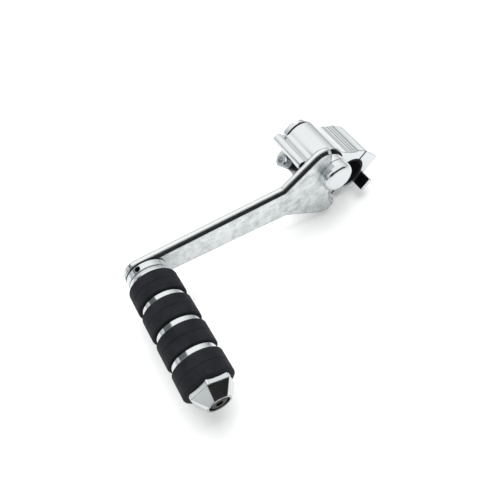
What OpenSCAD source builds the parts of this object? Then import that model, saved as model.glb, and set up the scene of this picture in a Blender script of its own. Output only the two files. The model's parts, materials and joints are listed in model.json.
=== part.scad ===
// Highway footpeg: a ringed peg on a long offset arm that swivels on a two-piece bar clamp.
// The origin is the centre of the bar bore. +X runs along the arm from the peg to the clamp,
// +Y from the peg's tip towards the clamp, +Z is up.

/* [Bar clamp] */
// Diameter of the bar that the clamp grips
bar_d = 25.4; // [22:0.1:26]
// Thickness of the rubber liner round the bar
liner_t = 1.8; // [1.2:0.1:2.5]
// Width of the clamp block across the split
block_w = 46; // [45.5:0.5:50]
// Depth of the cap from the bar's centre to its outer face
cap_depth = 19; // [18:0.5:22]
// Thickness of the ears under the nuts
ear_t = 8.5; // [7:0.5:10]
// Length of the clamp along the bar
clamp_len = 36; // [33:0.5:42]
// Gap between the clamp halves when they are tight
split_gap = 1.6; // [1:0.1:2.4]
// Height of the straight shoulders above the split
shoulder_h = 9; // [8:0.5:11]
// Tilt of the parting plane from level
split_tilt = 47; // [40:1:54]
// Radius of the flutes along the shoulders
flute_r = 1.2; // [0.6:0.1:1.4]
// Reach of the stop tab out from the cap's front face
tab_reach = 11.4; // [8:0.2:13]
// Width of the stop tab
tab_w = 11.5; // [9:0.5:13]

/* [Clamp screws] */
// Thread diameter of the clamp screws
screw_d = 4; // [3.5:0.5:4]
// Spacing of the clamp screws along the bar
screw_pitch = 20; // [16:0.5:22]
// Width of the nuts across their flats
nut_flats = 7; // [6:0.5:7]

/* [Pivot] */
// Distance of the pivot from the bar's centre
pivot_reach = 34.3; // [33:0.1:38]
// Outer diameter of the pivot barrel
barrel_d = 31; // [28:0.5:33]
// Diameter of the pivot bolt's shank
pivot_bolt_d = 12; // [10:0.5:13]
// Diameter of the bolt's domed head in front of the arm
boss_d = 25.6; // [23:0.2:27]
// Height of the bolt's domed head
boss_h = 9; // [7:0.5:11]
// Wall of the bush that the arm turns on
bush_wall = 2; // [1.5:0.1:2.5]
// Thickness of the friction washer between the arm and the barrel
friction_t = 1.5; // [1:0.1:2.5]
// Thickness of the washer at the barrel's far end
far_washer_t = 2.4; // [1.5:0.1:4]
// Diameter of the round slotted nut
slot_nut_d = 25; // [22:0.5:27]
// Thickness of the round slotted nut
slot_nut_t = 6; // [5:0.5:8]

/* [Lock] */
// Reach of the lock lug out from the barrel's wall
lug_reach = 13; // [10:0.5:15]
// Thickness of the lock lug
lug_t = 8; // [7:0.5:9]
// Diameter of the lock screw
lock_d = 6; // [5:0.5:6]
// Length of the black spacer under the lock screw's head
spacer_len = 7; // [5:0.5:9]

/* [Arm] */
// Distance from the peg's axis to the pivot along the arm
arm_reach = 161.5; // [145:0.5:185]
// Rise of the pivot above the peg's axis
arm_rise = 11.5; // [8:0.5:15]
// Thickness of the arm
arm_t = 8; // [7:0.5:11]
// Height of the bar at the peg
bar_h = 24.5; // [22:0.5:27]
// Height of the bar where it meets the head
neck_h = 31; // [28:0.5:34]
// Height of the arm's head
head_h = 72; // [68:0.5:76]
// Radius of the notch in the head round the bar
relief_r = 24.5; // [21:0.5:26]
// Width of the bevel round the arm's edges
edge_w = 3; // [1.5:0.1:3.2]

/* [Peg] */
// Outer diameter of the rubber rings
ring_d = 36; // [35:0.5:38]
// Width of one rubber ring
ring_w = 17.8; // [15:0.1:19]
// Number of rubber rings
ring_count = 4; // [4:1:4]
// Width of the land between two rings
land_w = 4.8; // [4:0.1:7]
// Diameter of the lands
land_d = 32; // [30:0.2:34.6]
// Diameter of the core under the rings
core_d = 24; // [22:0.5:28]
// Diameter of the bolt that holds the peg
peg_bolt_d = 10; // [8:0.5:11]
// Length of the collar between the arm and the first ring
collar_len = 10.2; // [9.5:0.1:14]
// Diameter of the collar at the arm
collar_d = 31; // [28:0.5:33]
// Length of the end cap
cap_len = 12.6; // [11:0.1:15]
// Diameter of the end cap's flat face
cap_face_d = 17; // [16.5:0.5:18]
// Diameter of the end cap's rim
cap_rim_d = 31; // [30:0.5:34]
// Diameter of the screw that holds the end cap
cap_screw_d = 6; // [5:0.5:6]

/* [Hidden] */
$fn = 96;
eps = 0.01;
running_gap = 0.05;
chrome = [0.80, 0.81, 0.83];
black_steel = [0.12, 0.12, 0.13];
rubber = [0.08, 0.08, 0.08];
steel = [0.62, 0.63, 0.65];
bronze = [0.66, 0.50, 0.30];

// Clamp
liner_r = bar_d / 2 + liner_t;
block_round = 2.5;
shoulder_top = 22;
shoulder_lean = 2;
barrel_sink = 2;
cap_wall = 3;
screw_x = liner_r + 3.1;
screw_bore_d = screw_d + 0.5;
screw_hold = shoulder_h - 1;
screw_washer_t = 1;
screw_washer_d = 8.4;
pocket_d = 8.8;
tab_t = 4;
tab_root = 6;
nut_t = 0.8 * screw_d;
screw_tail = 1;
flute_count = 3;
flute_step = 3;

// Pivot
split_dir = 90 + split_tilt;
pivot_x = pivot_reach * cos(split_dir);
pivot_z = pivot_reach * sin(split_dir);
clamp_front = -clamp_len / 2;
clamp_back = clamp_len / 2;
arm_back = clamp_front - friction_t;
arm_front = arm_back - arm_t;
nut_front = clamp_back + far_washer_t;
slot_w = 5;
slot_depth = 3;
slot_count = 4;

// Lock: a lug beside the barrel, with the screw in a seat below it
lug_low = -11;
lug_top = pivot_reach + barrel_d / 2 + lug_reach;
lug_round = 3.9;
lug_fillet = 4;
seat_w = 11;
seat_root = 14;
lock_x = lug_low - seat_w / 2;
lock_seat = pivot_reach + 11.2;
lock_reach = 14;
lock_head_d = 10.5;
lock_head_h = 8;
lock_y = 1;

// Arm
peg_x = pivot_x - arm_reach;
peg_z = pivot_z - arm_rise;
end_reach = 3;
lobe_r = 12.5;
neck_gap = 3.5;
head_mid = peg_z + 0.8;
neck_mid = peg_z + 0.3;
lip_x = 3.5;
edge_soft = 0.2 * edge_w;
arm_fn = 48;
bush_r = pivot_bolt_d / 2 + running_gap + bush_wall;

// Peg
peg_washer_t = 1.2;
ring_pitch = ring_w + land_w;
ring_start = peg_washer_t + collar_len;
peg_len = ring_start + ring_count * ring_pitch - land_w;
ring_round = 1.2;
seam_depth = 0.25;
cap_rim = 3.8;
cap_flats = 6;
cap_turn = 25;
cap_bore_d = cap_screw_d + 0.5;
cap_recess_d = 14.5;
cap_recess_depth = 5;
peg_bolt_reach = 34;
peg_bolt_head_d = 1.8 * peg_bolt_d;
cap_screw_reach = 18;
cap_head_d = 2.1 * cap_screw_d;
set_screw_d = 4;
set_screw_angle = 70;

// Stands a profile drawn in X and Z on the plane Y = y and gives it a depth towards +Y.
module plate(y, depth) {
    translate([0, y, 0]) rotate([90, 0, 0]) mirror([0, 0, 1]) linear_extrude(depth) children();
}

// Turns a profile of radius and length round the axis that points along +Y from y.
module turned(y) {
    translate([0, y, 0]) rotate([-90, 0, 0]) rotate_extrude() children();
}

module rod(y, d, length) {
    translate([0, y, 0]) rotate([-90, 0, 0]) cylinder(d = d, h = length);
}

module at_pivot() {
    translate([pivot_x, 0, pivot_z]) children();
}

module at_peg() {
    translate([peg_x, 0, peg_z]) children();
}

// Turns a section so that its +Y points from the bar to the pivot.
module across_split() {
    rotate(split_dir - 90) children();
}

// Turns a solid so that its +Z points from the bar to the pivot.
module along_split() {
    rotate([0, 90 - split_dir, 0]) children();
}

module at_screws() {
    along_split()
        for (side = [-1, 1], row = [-1, 1])
            translate([side * screw_x, row * screw_pitch / 2, 0]) children();
}

// Frame on the lock screw's seat with +Z pointing out along the screw.
module at_lock() {
    along_split() translate([lock_x, lock_y, lock_seat]) children();
}

module hex(flats) {
    circle(d = flats / cos(30), $fn = 6);
}

// Socket screw with its head's underside at Z = 0 and its shank along -Z.
module socket_screw(d, head_d, head_h, length) {
    bevel = 0.08 * head_d;
    difference() {
        union() {
            rotate_extrude()
                polygon([[0, 0], [head_d / 2, 0], [head_d / 2, head_h - bevel],
                    [head_d / 2 - bevel, head_h], [0, head_h]]);
            translate([0, 0, -length]) cylinder(d = d, h = length + eps);
        }
        translate([0, 0, 0.4 * head_h]) linear_extrude(head_h) hex(0.8 * d);
    }
}

module washer(d, bore, t) {
    difference() {
        cylinder(d = d, h = t);
        translate([0, 0, -t]) cylinder(d = bore, h = 3 * t);
    }
}

// Section of the cap: an ear and a thin wall on one side of the liner, a rounded block on the other.
module cap_section() {
    half = block_w / 2;
    depth = cap_depth - split_gap / 2;
    cap_r = liner_r + cap_wall;
    difference() {
        union() {
            translate([-half, -ear_t]) square([half, ear_t - split_gap / 2]);
            intersection() {
                circle(r = cap_r);
                translate([-cap_r, -cap_r]) square([2 * cap_r, cap_r - split_gap / 2]);
            }
            translate([0, -cap_depth]) square([half - block_round, depth]);
            translate([0, -cap_depth + block_round]) square([half, depth - block_round]);
            translate([half - block_round, -cap_depth + block_round]) circle(r = block_round);
        }
        circle(r = liner_r);
    }
}

// Section of the fixed half: straight shoulders that slope up to the barrel, and the lock lug.
module body_section() {
    half = block_w / 2;
    difference() {
        union() {
            polygon([[-half, split_gap / 2], [half, split_gap / 2],
                [half - shoulder_lean, shoulder_h],
                [barrel_d / 2, shoulder_top], [barrel_d / 2 - barrel_sink, pivot_reach],
                [barrel_sink - barrel_d / 2, pivot_reach], [-barrel_d / 2, shoulder_top],
                [-half + shoulder_lean, shoulder_h]]);
            translate([0, pivot_reach]) circle(d = barrel_d);
            lug_section();
            translate([lock_x - seat_w / 2, seat_root])
                square([seat_w + barrel_sink, lock_seat - seat_root]);
        }
        circle(r = liner_r);
        flutes();
    }
}

module lug_section() {
    length = lug_top - pivot_reach;
    translate([lug_low, pivot_reach]) square([lug_t, length - lug_round]);
    translate([lug_low + lug_round, pivot_reach]) square([lug_t - 2 * lug_round, length]);
    for (x = [lug_round, lug_t - lug_round])
        translate([lug_low + x, lug_top - lug_round]) circle(r = lug_round);
    lug_fillet_section();
}

// Fills the corner between the lug and the barrel with a hollow curve.
module lug_fillet_section() {
    side = lug_low + lug_t;
    centre = [side + lug_fillet,
        pivot_reach + sqrt(pow(barrel_d / 2 + lug_fillet, 2) - pow(side + lug_fillet, 2))];
    difference() {
        polygon([[side - eps, centre[1]], [side - eps, pivot_reach], [centre[0], pivot_reach], centre]);
        translate(centre) circle(r = lug_fillet);
    }
}

// Flutes that run along the right shoulder's slope.
module flutes() {
    edge = block_w / 2 - shoulder_lean;
    slope = atan2(shoulder_top - shoulder_h, barrel_d / 2 - edge);
    for (step = [1 : flute_count])
        translate([edge, shoulder_h] + step * flute_step * [cos(slope), sin(slope)])
            circle(r = flute_r, $fn = 24);
}

module clamp_body() {
    color(chrome) difference() {
        plate(clamp_front, clamp_len) across_split() body_section();
        at_pivot() rod(-clamp_len, pivot_bolt_d + 2 * running_gap, 2 * clamp_len);
        at_screws() cylinder(d = screw_d, h = screw_hold);
        at_lock() translate([0, 0, -lock_reach - 1]) cylinder(d = lock_d, h = lock_seat);
    }
}

module clamp_cap() {
    color(chrome) difference() {
        union() {
            plate(clamp_front, clamp_len) across_split() cap_section();
            plate(clamp_front - tab_reach, tab_reach + tab_root) across_split()
                translate([-tab_w / 2, -liner_r - tab_t]) square([tab_w, tab_t]);
        }
        at_screws() translate([0, 0, -2 * cap_depth]) {
            cylinder(d = screw_bore_d, h = 2 * cap_depth);
            cylinder(d = pocket_d, h = 2 * cap_depth - ear_t);
        }
    }
}

// Half of the rubber sleeve, cut back from the split.
module liner_half() {
    plate(clamp_front, clamp_len) across_split() difference() {
        circle(r = liner_r);
        circle(d = bar_d);
        translate([-2 * liner_r, split_gap / 2 - 4 * liner_r]) square(4 * liner_r);
    }
}

module liner_upper() {
    color(rubber) liner_half();
}

module liner_lower() {
    color(rubber) rotate([0, 180, 0]) liner_half();
}

// Headless screws that stand in the fixed half and pass through the cap.
module clamp_screws() {
    tail = ear_t + screw_washer_t + nut_t + screw_tail;
    color(steel) at_screws() translate([0, 0, -tail]) cylinder(d = screw_d, h = tail + screw_hold);
}

module clamp_screw_washers() {
    color(steel) at_screws() translate([0, 0, -ear_t - screw_washer_t])
        washer(screw_washer_d, screw_bore_d, screw_washer_t);
}

module clamp_nuts() {
    color(black_steel) at_screws() translate([0, 0, -ear_t - screw_washer_t - nut_t])
        linear_extrude(nut_t) difference() {
            hex(nut_flats);
            circle(d = screw_d);
        }
}

// The bolt with its domed head; the shank passes the arm, the barrel and the slotted nut.
module pivot_bolt() {
    shank_end = nut_front + slot_nut_t + 1 - arm_front;
    dome = 0.45 * boss_h;
    color(chrome) at_pivot() turned(arm_front)
        polygon(concat([[0, shank_end], [0, -boss_h]],
            [for (a = [0 : 15 : 90]) [boss_d / 2 - dome + dome * sin(a), -boss_h + dome * (1 - cos(a))]],
            [[boss_d / 2, 0], [pivot_bolt_d / 2, 0], [pivot_bolt_d / 2, shank_end - 1],
                [pivot_bolt_d / 2 - 1, shank_end]]));
}

module far_washer() {
    color(black_steel) at_pivot() difference() {
        rod(clamp_back, barrel_d - 2, far_washer_t);
        rod(clamp_back - eps, pivot_bolt_d + 2 * running_gap, far_washer_t + 2 * eps);
    }
}

module slotted_nut() {
    color(chrome) at_pivot() difference() {
        rod(nut_front, slot_nut_d, slot_nut_t);
        rod(nut_front - eps, pivot_bolt_d, slot_nut_t + 2 * eps);
        for (turn = [0 : slot_count - 1]) rotate([0, 360 / slot_count * turn, 0])
            translate([slot_nut_d / 2 - slot_depth, nut_front - eps, -slot_w / 2])
                cube([slot_nut_d, slot_nut_t + 2 * eps, slot_w]);
    }
}

module friction_washer() {
    color(black_steel) at_pivot() difference() {
        rod(arm_back, barrel_d - 2, friction_t);
        rod(arm_back - eps, pivot_bolt_d + 2 * running_gap, friction_t + 2 * eps);
    }
}

module lock_screw() {
    color(chrome) at_lock() translate([0, 0, spacer_len])
        socket_screw(lock_d, lock_head_d, lock_head_h, spacer_len + lock_reach);
}

// Black spacer that carries the lock screw's head clear of the lug.
module lock_washer() {
    color(black_steel) at_lock() washer(lock_head_d, lock_d, spacer_len);
}

// Disc as thick as the arm with its edges bevelled, on the plane of the arm.
module bevelled_disc(d) {
    inner = d / 2 - edge_w;
    turned(arm_front)
        polygon([[0, 0], [inner + edge_soft, 0], [d / 2, edge_w - edge_soft],
            [d / 2, arm_t - edge_w + edge_soft], [inner + edge_soft, arm_t], [0, arm_t]]);
}

module neck() {
    translate([pivot_x - head_h / 2 - neck_gap, 0, neck_mid]) bevelled_disc(neck_h, $fn = arm_fn);
}

// Fan-shaped head between the neck and two round lobes.
module head() {
    hull() {
        neck();
        translate([pivot_x - lip_x - lobe_r / 2, 0, head_mid + head_h / 2 - lobe_r])
            bevelled_disc(2 * lobe_r, $fn = arm_fn);
        translate([pivot_x - lobe_r / 3, 0, head_mid - head_h / 2 + lobe_r])
            bevelled_disc(2 * lobe_r, $fn = arm_fn);
    }
}

// Bar that swells into the head; the notch under the boss clears the bar clamp.
module arm() {
    color(chrome) difference() {
        union() {
            difference() {
                union() {
                    hull() {
                        at_peg() translate([-end_reach, 0, 0]) bevelled_disc(bar_h, $fn = arm_fn);
                        neck();
                    }
                    head();
                }
                translate([pivot_x - lip_x, arm_front - eps, pivot_z])
                    cube([head_h, arm_t + 2 * eps, head_h]);
                turned(arm_front)
                    polygon([[0, -eps], [relief_r + edge_w - edge_soft, -eps],
                        [relief_r, edge_w - edge_soft],
                        [relief_r, arm_t + eps], [0, arm_t + eps]]);
            }
            at_pivot() rod(arm_front, boss_d, arm_t);
        }
        at_pivot() rod(arm_front - arm_t, 2 * bush_r, 3 * arm_t);
        at_peg() rod(arm_front - arm_t, peg_bolt_d, 3 * arm_t);
        at_peg() turned(arm_back) polygon(countersink(0, eps));
    }
}

// Profile of the countersunk head on the peg bolt, whose top is at y = 0.
function countersink(inner, past) = [
    [inner, past], [peg_bolt_head_d / 2 + past, past], [peg_bolt_head_d / 2, 0],
    [peg_bolt_head_d / 2, -0.5], [peg_bolt_d / 2, -0.5 - (peg_bolt_head_d - peg_bolt_d) / 2],
    [inner, -0.5 - (peg_bolt_head_d - peg_bolt_d) / 2]];

// Bush fixed in the arm, turning on the bolt's shank.
module arm_bush() {
    color(bronze) at_pivot() difference() {
        rod(arm_front, 2 * bush_r, arm_t);
        rod(arm_front - eps, pivot_bolt_d + 2 * running_gap, arm_t + 2 * eps);
    }
}

module peg_collar() {
    groove = 0.8;
    color(chrome) difference() {
        at_peg() turned(arm_front - peg_washer_t)
            polygon([[peg_bolt_d / 2, 0], [collar_d / 2, 0], [collar_d / 2, -collar_len / 2],
                [collar_d / 2 - groove, -collar_len / 2 - groove / 2],
                [collar_d / 2, -collar_len / 2 - groove], [land_d / 2, -collar_len + 2],
                [land_d / 2, -collar_len], [peg_bolt_d / 2, -collar_len]]);
        at_set_screw() cylinder(d = set_screw_d, h = collar_d);
    }
}

// Frame on the collar's axis with +Z pointing out through the set screw.
module at_set_screw() {
    at_peg() translate([0, arm_front - peg_washer_t - collar_len / 4, 0])
        rotate([0, set_screw_angle - 90, 0]) translate([0, 0, peg_bolt_d / 2]) children();
}

module collar_set_screw() {
    set_screw_len = (collar_d - peg_bolt_d) / 2 - 0.6;
    color(black_steel) at_set_screw() difference() {
        cylinder(d = set_screw_d, h = set_screw_len);
        translate([0, 0, set_screw_len / 2]) linear_extrude(set_screw_len) hex(set_screw_d / 2);
    }
}

// Turned core with a land between each pair of rings and a bore at each end.
module peg_core() {
    core_front = arm_front - ring_start;
    color(chrome) difference() {
        union() {
            at_peg() rod(arm_front - peg_len, core_d, peg_len - ring_start);
            for (gap = [1 : ring_count - 1])
                at_peg() turned(core_front - gap * ring_pitch)
                    polygon([[0, 0], [land_d / 2 - 0.5, 0], [land_d / 2, 0.5],
                        [land_d / 2, land_w - 0.5], [land_d / 2 - 0.5, land_w], [0, land_w]]);
        }
        at_peg() rod(core_front - peg_bolt_reach, peg_bolt_d, peg_bolt_reach + eps);
        at_peg() rod(arm_front - peg_len - eps, cap_screw_d, cap_screw_reach + 2);
    }
}

// Moulded ring with rounded rims and a shallow seam round its middle.
module rubber_ring(index) {
    far = ring_start + (index - 1) * ring_pitch;
    r = ring_d / 2;
    half = ring_w / 2;
    color(rubber) at_peg() turned(arm_front - far - half)
        polygon(concat([[core_d / 2, half], [core_d / 2, -half]],
            [for (a = [0 : 30 : 90])
                [r - ring_round + ring_round * sin(a), -half + ring_round * (1 - cos(a))]],
            [[r, -seam_depth], [r - seam_depth, 0], [r, seam_depth]],
            [for (a = [90 : -30 : 0])
                [r - ring_round + ring_round * sin(a), half - ring_round * (1 - cos(a))]]));
}

module rubber_ring_1() { rubber_ring(1); }

module rubber_ring_2() { rubber_ring(2); }

module rubber_ring_3() { rubber_ring(3); }

module rubber_ring_4() { rubber_ring(4); }

// Cap with a six-sided rim, its corners turned off, and flats that slope to its face.
module end_cap() {
    tip = arm_front - peg_len - cap_len;
    cone_len = cap_len - cap_rim;
    color(chrome) difference() {
        at_peg() intersection() {
            turned(tip)
                polygon([[0, 0], [cap_face_d / 2, 0], [cap_rim_d / 2, cone_len],
                    [cap_rim_d / 2, cap_len], [0, cap_len]]);
            hull() {
                plate(tip, eps) rotate(-cap_turn) circle(d = 1.1 * cap_face_d, $fn = cap_flats);
                plate(tip + cone_len, cap_rim) rotate(-cap_turn)
                    circle(d = 1.03 * cap_rim_d, $fn = cap_flats);
            }
        }
        at_peg() rod(tip - eps, cap_recess_d, cap_recess_depth);
        at_peg() rod(tip, cap_bore_d, cap_len + 1);
    }
}

module cap_screw() {
    color(black_steel) at_peg() translate([0, arm_front - peg_len - cap_len + cap_recess_depth, 0])
        rotate([90, 0, 0])
            socket_screw(cap_screw_d, cap_head_d, 0.9 * cap_recess_depth,
                cap_len - cap_recess_depth + cap_screw_reach);
}

// Countersunk bolt that lies flush in the arm's back and holds the collar and the core.
module peg_bolt() {
    grip = arm_t + ring_start + peg_bolt_reach - 2;
    head_depth = 3.5;
    color(chrome) at_peg() difference() {
        union() {
            turned(arm_back) polygon(countersink(0, 0));
            rod(arm_back - grip, peg_bolt_d, grip - 1);
        }
        plate(arm_back - head_depth, 2 * head_depth) hex(0.6 * peg_bolt_d);
    }
}

// Thin black washer between the arm and the collar.
module peg_washer() {
    color(black_steel) at_peg() translate([0, arm_front - peg_washer_t, 0]) rotate([-90, 0, 0])
        washer(collar_d, peg_bolt_d, peg_washer_t);
}

clamp_body();
clamp_cap();
liner_upper();
liner_lower();
clamp_screws();
clamp_screw_washers();
clamp_nuts();
pivot_bolt();
far_washer();
slotted_nut();
friction_washer();
lock_screw();
lock_washer();
arm();
arm_bush();
peg_collar();
collar_set_screw();
peg_core();
rubber_ring_1();
rubber_ring_2();
rubber_ring_3();
rubber_ring_4();
end_cap();
cap_screw();
peg_bolt();
peg_washer();
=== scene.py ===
import json
import math

import bpy
from mathutils import Euler, Matrix, Vector


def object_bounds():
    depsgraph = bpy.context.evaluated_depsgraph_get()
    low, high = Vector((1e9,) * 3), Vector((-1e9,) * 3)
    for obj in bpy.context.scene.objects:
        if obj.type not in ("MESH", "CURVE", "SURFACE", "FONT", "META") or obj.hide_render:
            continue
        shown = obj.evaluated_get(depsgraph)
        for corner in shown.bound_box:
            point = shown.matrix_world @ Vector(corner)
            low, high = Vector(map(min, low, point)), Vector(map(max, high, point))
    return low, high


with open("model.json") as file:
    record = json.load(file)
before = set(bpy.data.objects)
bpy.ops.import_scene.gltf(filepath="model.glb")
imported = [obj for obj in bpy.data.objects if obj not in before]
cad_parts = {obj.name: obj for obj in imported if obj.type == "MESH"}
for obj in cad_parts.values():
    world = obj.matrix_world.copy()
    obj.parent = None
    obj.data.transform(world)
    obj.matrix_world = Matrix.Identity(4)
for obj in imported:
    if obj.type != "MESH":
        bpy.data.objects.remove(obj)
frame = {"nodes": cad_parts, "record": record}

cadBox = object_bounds()
nodes = frame["nodes"]
mm = 0.001
armMiddle = (-0.09, 0, 0)  # what the lamp and the cards are aimed at, in metres

# Camera: taken from the rings, the arm's edges and the barrel's lines in the photograph
cameraView = {
    "place": (-209.0, -233.8, 311.7),  # mm, from the centre of the bar bore
    "turn": 27.3,  # degrees right of +Y
    "drop": 55.3,  # degrees below level
    "roll": -3.9,
    "lens": 36.0,  # mm
    "sensor": 36.0,  # mm wide
    "nearest": 0.005,  # metres
}


def addCamera():
    camera = bpy.data.objects.new("camera", bpy.data.cameras.new("camera"))
    bpy.context.scene.collection.objects.link(camera)
    camera.data.lens = cameraView["lens"]
    camera.data.sensor_width = cameraView["sensor"]
    camera.data.sensor_fit = "HORIZONTAL"
    camera.data.clip_start = cameraView["nearest"]
    aim = Euler((math.radians(90 - cameraView["drop"]), 0, math.radians(-cameraView["turn"])), "XYZ")
    spin = Matrix.Rotation(math.radians(cameraView["roll"]), 4, "Z")
    place = Matrix.Translation(Vector(cameraView["place"]) * mm)
    camera.matrix_world = place @ aim.to_matrix().to_4x4() @ spin
    bpy.context.scene.camera = camera


addCamera()
bpy.context.scene.view_settings.view_transform = "Standard"
print("camera placed")


def toLinear(hexColour):
    channels = [int(hexColour[i:i + 2], 16) / 255 for i in (1, 3, 5)]
    linear = [c / 12.92 if c <= 0.04045 else ((c + 0.055) / 1.055) ** 2.4 for c in channels]
    return (*linear, 1.0)


def addNode(tree, kind, settings=None, links=None):
    node = tree.nodes.new(kind)
    for name, value in (settings or {}).items():
        if isinstance(name, int) or name in node.inputs:
            node.inputs[name].default_value = value
        else:
            setattr(node, name, value)
    for name, source in (links or {}).items():
        tree.links.new(source, node.inputs[name])
    return node


def perMetre(sizeMm):
    return 1000.0 / sizeMm  # noise scale for a feature of this size on object coordinates


def newMaterial(name):
    material = bpy.data.materials.new(name)
    material.use_nodes = True
    material.node_tree.nodes.clear()
    return material, material.node_tree


def finishMaterial(tree, shader):
    out = tree.nodes.new("ShaderNodeOutputMaterial")
    tree.links.new(shader.outputs[0], out.inputs["Surface"])


# Spreads a noise's usual middle range, or the range that is given, over low to high
def remap(tree, source, low, high, fromLow=0.35, fromHigh=0.65):
    node = addNode(tree, "ShaderNodeMapRange", {1: fromLow, 2: fromHigh, 3: low, 4: high}, {0: source})
    return node.outputs[0]


# Polished steel under bright chrome plate: a mirror with faint smears of handling and a soft waviness
polishedChrome = {
    "colour": "#D6D9DB",
    "paintedEdgeShadeColour": "#7E8385",  # painted shade: rounded edges are coloured as thin grey lines, standing in for the darker things they mirror
    "roughness": (0.06, 0.15),
    "smearMm": 22,
    "waveMm": 9,
    "waveDepthMm": 0.012,
    "edgeMm": 0.9,  # radius of the rounding
}

# Same plate on the arm's flat faces, which were only belt sanded: frosty streaks and grey mottling
sandedChrome = {
    "colours": ("#AEB4B5", "#E2E5E6"),
    "sideColour": "#DDDFE0",
    # painted shade: thin grey lines coloured along the rounded edges, as on the polished chrome
    "paintedEdgeShadeColour": "#7E8385",
    "mottleMm": 5,
    "mottleRange": (0.28, 0.58),  # noise values that are fully dull and fully bright
    "roughness": (0.24, 0.42),
    "streakMm": (26, 5),  # along the sanding and across it
    "streakTurn": 20,  # degrees
    "waveMm": 14,
    "waveDepthMm": 0.05,
    "edgeMm": 1.5,
    "sideRoughness": 0.08,
    "flatRange": (0.93, 0.99),  # how far a face must point along Y to be a sanded one
}

# Plated screws: bright, with small smears from the wrench
platedScrew = {
    "colour": "#CFD2D6",
    # painted shade: thin grey lines coloured along the rounded edges, as on the polished chrome
    "paintedEdgeShadeColour": "#7E8385",
    "roughness": (0.08, 0.2),
    "smearMm": 4,
    "waveMm": 3,
    "waveDepthMm": 0.004,
    "edgeMm": 0.2,
}


def bevelled(tree, widthMm):
    return addNode(tree, "ShaderNodeBevel", {"samples": 6, "Radius": widthMm * mm})


paintedEdgeShadeRange = (0.965, 0.998)  # match of rounded and plain normal: full painted edge shade, and none


# Mask of the painted edge shade: full where the rounded normal turns away from the plain one, so edges
# get grey lines standing in for darker reflections
def paintedEdgeShadeMask(tree, edge):
    plain = tree.nodes.new("ShaderNodeNewGeometry").outputs["Normal"]
    match = addNode(tree, "ShaderNodeVectorMath", {"operation": "DOT_PRODUCT"},
                    {0: edge.outputs[0], 1: plain})
    return remap(tree, match.outputs["Value"], 1.0, 0.0, *paintedEdgeShadeRange)


def chromeMaterial(name, look):
    material, tree = newMaterial(name)
    place = tree.nodes.new("ShaderNodeTexCoord").outputs["Object"]
    smear = addNode(tree, "ShaderNodeTexNoise", {"Scale": perMetre(look["smearMm"]), "Detail": 4.0},
                    {"Vector": place})
    wave = addNode(tree, "ShaderNodeTexNoise", {"Scale": perMetre(look["waveMm"]), "Detail": 1.0},
                   {"Vector": place})
    edge = bevelled(tree, look["edgeMm"])
    bump = addNode(tree, "ShaderNodeBump", {"Strength": 1.0, "Distance": look["waveDepthMm"] * mm},
                   {"Height": wave.outputs["Fac"], "Normal": edge.outputs[0]})
    rough = remap(tree, smear.outputs["Fac"], *look["roughness"])
    # chrome colour, with painted shade lines along the rounded edges
    colour = addNode(tree, "ShaderNodeMix",
                     {"data_type": "RGBA", 6: toLinear(look["colour"]), 7: toLinear(look["paintedEdgeShadeColour"])},
                     {0: paintedEdgeShadeMask(tree, edge)})
    shader = addNode(tree, "ShaderNodeBsdfPrincipled", {"Metallic": 1.0},
                     {"Base Color": colour.outputs[2], "Roughness": rough, "Normal": bump.outputs[0]})
    finishMaterial(tree, shader)
    return material


def armMaterial():
    look = sandedChrome
    material, tree = newMaterial("chromePlatedSandedSteel")
    coords = tree.nodes.new("ShaderNodeTexCoord")
    place = coords.outputs["Object"]
    length, width = look["streakMm"]
    turned = addNode(tree, "ShaderNodeMapping",
                     {"Rotation": (0, math.radians(look["streakTurn"]), 0),
                      "Scale": (perMetre(length), perMetre(length), perMetre(width))}, {"Vector": place})
    streak = addNode(tree, "ShaderNodeTexNoise", {"Scale": 1.0, "Detail": 5.0, "Roughness": 0.6},
                     {"Vector": turned.outputs[0]})
    wave = addNode(tree, "ShaderNodeTexNoise", {"Scale": perMetre(look["waveMm"]), "Detail": 3.0},
                   {"Vector": place})
    edge = bevelled(tree, look["edgeMm"])
    bump = addNode(tree, "ShaderNodeBump", {"Strength": 1.0, "Distance": look["waveDepthMm"] * mm},
                   {"Height": wave.outputs["Fac"], "Normal": edge.outputs[0]})
    mottle = addNode(tree, "ShaderNodeTexNoise",
                     {"Scale": perMetre(look["mottleMm"]), "Detail": 7.0, "Roughness": 0.65},
                     {"Vector": place})
    parts = addNode(tree, "ShaderNodeSeparateXYZ", None, {0: coords.outputs["Normal"]})
    facing = addNode(tree, "ShaderNodeMath", {"operation": "ABSOLUTE"}, {0: parts.outputs["Y"]})
    flat = remap(tree, facing.outputs[0], 0.0, 1.0, *look["flatRange"])
    frosty = remap(tree, streak.outputs["Fac"], *look["roughness"])
    rough = addNode(tree, "ShaderNodeMix", {"data_type": "FLOAT", 2: look["sideRoughness"]},
                    {0: flat, 3: frosty})
    dull, bright = (toLinear(c) for c in look["colours"])
    clouds = addNode(tree, "ShaderNodeMix", {"data_type": "RGBA", 6: dull, 7: bright},
                     {0: remap(tree, mottle.outputs["Fac"], 0.0, 1.0, *look["mottleRange"])})
    faces = addNode(tree, "ShaderNodeMix", {"data_type": "RGBA", 6: toLinear(look["sideColour"])},
                    {0: flat, 7: clouds.outputs[2]})
    # painted shade lines along the rounded edges over the face colours
    colour = addNode(tree, "ShaderNodeMix", {"data_type": "RGBA", 7: toLinear(look["paintedEdgeShadeColour"])},
                     {0: paintedEdgeShadeMask(tree, edge), 6: faces.outputs[2]})
    shader = addNode(tree, "ShaderNodeBsdfPrincipled", {"Metallic": 1.0},
                     {"Base Color": colour.outputs[2], "Roughness": rough.outputs[0],
                      "Normal": bump.outputs[0]})
    finishMaterial(tree, shader)
    return material


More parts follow.
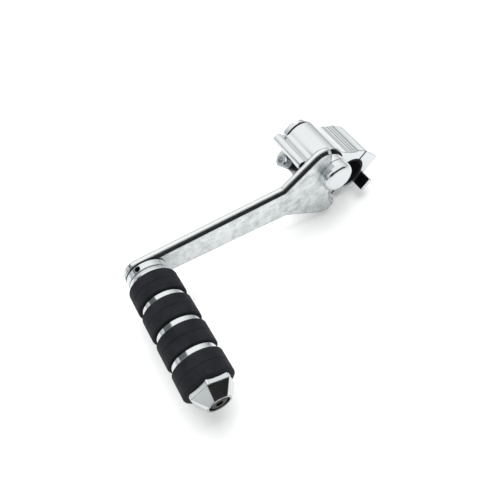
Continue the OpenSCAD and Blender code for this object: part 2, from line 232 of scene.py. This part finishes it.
# Moulded rubber: near black, matte, with a fine grain and a little dust in it
mouldedRubber = {
    "colours": ("#131418", "#202126"),
    "roughness": (0.58, 0.74),
    "grainMm": 0.7,  # coarser than real so that it shows
    "grainDepthMm": 0.05,
    "grainStrength": 0.6,
    "dustMm": 9,
    "specular": 0.16,  # dry and dusty, so it shines less than fresh rubber
}


def rubberMaterial():
    look = mouldedRubber
    material, tree = newMaterial("mouldedRubber")
    place = tree.nodes.new("ShaderNodeTexCoord").outputs["Object"]
    dust = addNode(tree, "ShaderNodeTexNoise", {"Scale": perMetre(look["dustMm"]), "Detail": 5.0},
                   {"Vector": place})
    grain = addNode(tree, "ShaderNodeTexNoise", {"Scale": perMetre(look["grainMm"]), "Detail": 2.0},
                    {"Vector": place})
    low, high = (toLinear(c) for c in look["colours"])
    colour = addNode(tree, "ShaderNodeMix", {"data_type": "RGBA", 6: low, 7: high},
                     {0: remap(tree, dust.outputs["Fac"], 0.0, 1.0)})
    bump = addNode(tree, "ShaderNodeBump",
                   {"Strength": look["grainStrength"], "Distance": look["grainDepthMm"] * mm},
                   {"Height": grain.outputs["Fac"]})
    shader = addNode(tree, "ShaderNodeBsdfPrincipled", {"Specular IOR Level": look["specular"]},
                     {"Base Color": colour.outputs[2], "Normal": bump.outputs[0],
                      "Roughness": remap(tree, dust.outputs["Fac"], *look["roughness"])})
    finishMaterial(tree, shader)
    return material


# Steel blackened in a hot salt bath: dark, satin, a little brown in places
blackOxide = {"colours": ("#0B0B0C", "#1A1917"), "roughness": (0.3, 0.48), "patchMm": 5}
# Zinc plated steel: pale grey with a satin sparkle
zincPlate = {"colours": ("#A9ADB1", "#C2C5C8"), "roughness": (0.22, 0.36), "patchMm": 2.5}
# Sintered bronze: dull gold, porous
sinteredBronze = {"colours": ("#6E5230", "#8E6B3E"), "roughness": (0.38, 0.55), "patchMm": 1.5}
smallEdgeMm = 0.2  # rounding on the edges of these


def metalMaterial(name, look):
    material, tree = newMaterial(name)
    place = tree.nodes.new("ShaderNodeTexCoord").outputs["Object"]
    patch = addNode(tree, "ShaderNodeTexNoise", {"Scale": perMetre(look["patchMm"]), "Detail": 4.0},
                    {"Vector": place})
    low, high = (toLinear(c) for c in look["colours"])
    colour = addNode(tree, "ShaderNodeMix", {"data_type": "RGBA", 6: low, 7: high},
                     {0: remap(tree, patch.outputs["Fac"], 0.0, 1.0)})
    edge = bevelled(tree, smallEdgeMm)
    shader = addNode(tree, "ShaderNodeBsdfPrincipled", {"Metallic": 1.0},
                     {"Base Color": colour.outputs[2], "Normal": edge.outputs[0],
                      "Roughness": remap(tree, patch.outputs["Fac"], *look["roughness"])})
    finishMaterial(tree, shader)
    return material


bySlot = {
    "chrome": chromeMaterial("chromePlatedPolished", polishedChrome),
    "screw_chrome": chromeMaterial("chromePlatedScrew", platedScrew),
    "arm_chrome": armMaterial(),
    "rubber": rubberMaterial(),
    "black_steel": metalMaterial("blackOxideSteel", blackOxide),
    "plated_steel": metalMaterial("zincPlatedSteel", zincPlate),
    "bronze": metalMaterial("sinteredBronze", sinteredBronze),
}
print("materials made")


def dress(node, material):
    node.data.materials.clear()
    node.data.materials.append(material)
    for face in node.data.polygons:
        face.material_index = 0


for row in frame["record"]["subparts"]:
    dress(nodes[row["node"]], bySlot[row["material_slot"]])
print("CAD nodes dressed")

# Studio: a white floor just under the part, a soft box overhead, and cards that only the chrome shows
studio = {
    "floorSide": 6.0,  # metres
    "floorGap": 0.002,
    "floorRoughness": 0.9,
    "floorColour": "#EDEEEE",
    "floorLift": 0.2,  # extra light in the floor that only the camera sees
    "worldColours": ("#AEB2B2", "#FAFAF9"),  # level with the part, and high up
    "worldTop": 0.7,  # height of a direction from which the second colour is full
    "wallColour": "#F6F7F7",  # what the camera sees beyond the floor
    "worldStrength": 0.66,
    "mirroredWorld": 1.3,  # strength of the same white tent where the chrome shows it
    "softBox": {"place": (-0.06, 0.26, 1.15), "side": 1.1, "watts": 17},
}

# Cards: each at an azimuth from +Y towards +X and a height in degrees, as seen from the arm's middle
cards = {
    "blackFlag": {"azimuth": 176, "level": 22, "away": 1.1, "width": 2.6, "height": 0.85,
                  "colour": "#2E2E2E"},
    "greyCard": {"azimuth": -62, "level": 40, "away": 1.2, "width": 0.5, "height": 0.8,
                 "colour": "#707474"},
}


def addPlane(name, width, height, matrix):
    mesh = bpy.data.meshes.new(name)
    corners = [(-width / 2, -height / 2, 0), (width / 2, -height / 2, 0),
               (width / 2, height / 2, 0), (-width / 2, height / 2, 0)]
    mesh.from_pydata(corners, [], [(0, 1, 2, 3)])
    plane = bpy.data.objects.new(name, mesh)
    plane.matrix_world = matrix
    bpy.context.scene.collection.objects.link(plane)
    return plane


def addFloor():
    floor = addPlane("floor", studio["floorSide"], studio["floorSide"],
                     Matrix.Translation((0, 0, cadBox[0][2] - studio["floorGap"])))
    material, tree = newMaterial("paintedFloor")
    paths = tree.nodes.new("ShaderNodeLightPath")
    lift = addNode(tree, "ShaderNodeMath", {"operation": "MULTIPLY", 1: studio["floorLift"]},
                   {0: paths.outputs["Is Camera Ray"]})
    shader = addNode(tree, "ShaderNodeBsdfPrincipled",
                     {"Base Color": toLinear(studio["floorColour"]),
                      "Roughness": studio["floorRoughness"], "Specular IOR Level": 0.0,
                      "Emission Color": (1, 1, 1, 1)},
                     {"Emission Strength": lift.outputs[0]})
    finishMaterial(tree, shader)
    floor.data.materials.append(material)


def aimedAt(place):
    direction = Vector(armMiddle) - Vector(place)
    return Matrix.Translation(place) @ direction.to_track_quat("-Z", "Y").to_matrix().to_4x4()


def addLights():
    box = studio["softBox"]
    lamp = bpy.data.lights.new("softBox", "AREA")
    lamp.shape = "SQUARE"
    lamp.size = box["side"]
    lamp.energy = box["watts"]
    light = bpy.data.objects.new("softBox", lamp)
    light.matrix_world = aimedAt(box["place"])
    light.visible_glossy = False  # the chrome mirrors the tent, not the lamp in it
    bpy.context.scene.collection.objects.link(light)
    world = bpy.data.worlds.new("studio")
    bpy.context.scene.world = world
    world.use_nodes = True
    tree = world.node_tree
    sky = tree.nodes["Background"]
    up = addNode(tree, "ShaderNodeSeparateXYZ", None,
                 {0: tree.nodes.new("ShaderNodeTexCoord").outputs["Generated"]})
    low, high = (toLinear(c) for c in studio["worldColours"])
    shade = addNode(tree, "ShaderNodeMix", {"data_type": "RGBA", 6: low, 7: high},
                    {0: remap(tree, up.outputs["Z"], 0.0, 1.0, 0.0, studio["worldTop"])})
    paths = tree.nodes.new("ShaderNodeLightPath")
    wall = addNode(tree, "ShaderNodeMix", {"data_type": "RGBA", 7: toLinear(studio["wallColour"])},
                   {0: paths.outputs["Is Camera Ray"], 6: shade.outputs[2]})
    tree.links.new(wall.outputs[2], sky.inputs["Color"])
    strength = remap(tree, paths.outputs["Is Glossy Ray"], studio["worldStrength"],
                     studio["mirroredWorld"], 0.0, 1.0)
    seen = addNode(tree, "ShaderNodeMath", {"operation": "MAXIMUM"},
                   {0: strength, 1: paths.outputs["Is Camera Ray"]})
    tree.links.new(seen.outputs[0], sky.inputs["Strength"])


def addCard(name, look):
    azimuth, level = math.radians(look["azimuth"]), math.radians(look["level"])
    towards = Vector((math.sin(azimuth) * math.cos(level), math.cos(azimuth) * math.cos(level),
                      math.sin(level)))
    card = addPlane(name, look["width"], look["height"],
                    aimedAt(Vector(armMiddle) + look["away"] * towards))
    material, tree = newMaterial(name + "Cloth")
    shader = addNode(tree, "ShaderNodeBsdfPrincipled",
                     {"Base Color": toLinear(look["colour"]), "Roughness": 1.0,
                      "Specular IOR Level": 0.0})
    finishMaterial(tree, shader)
    card.data.materials.append(material)
    card.visible_camera = False
    card.visible_shadow = False
    card.visible_diffuse = False


addFloor()
addLights()
for name, look in cards.items():
    addCard(name, look)
print("studio lit")
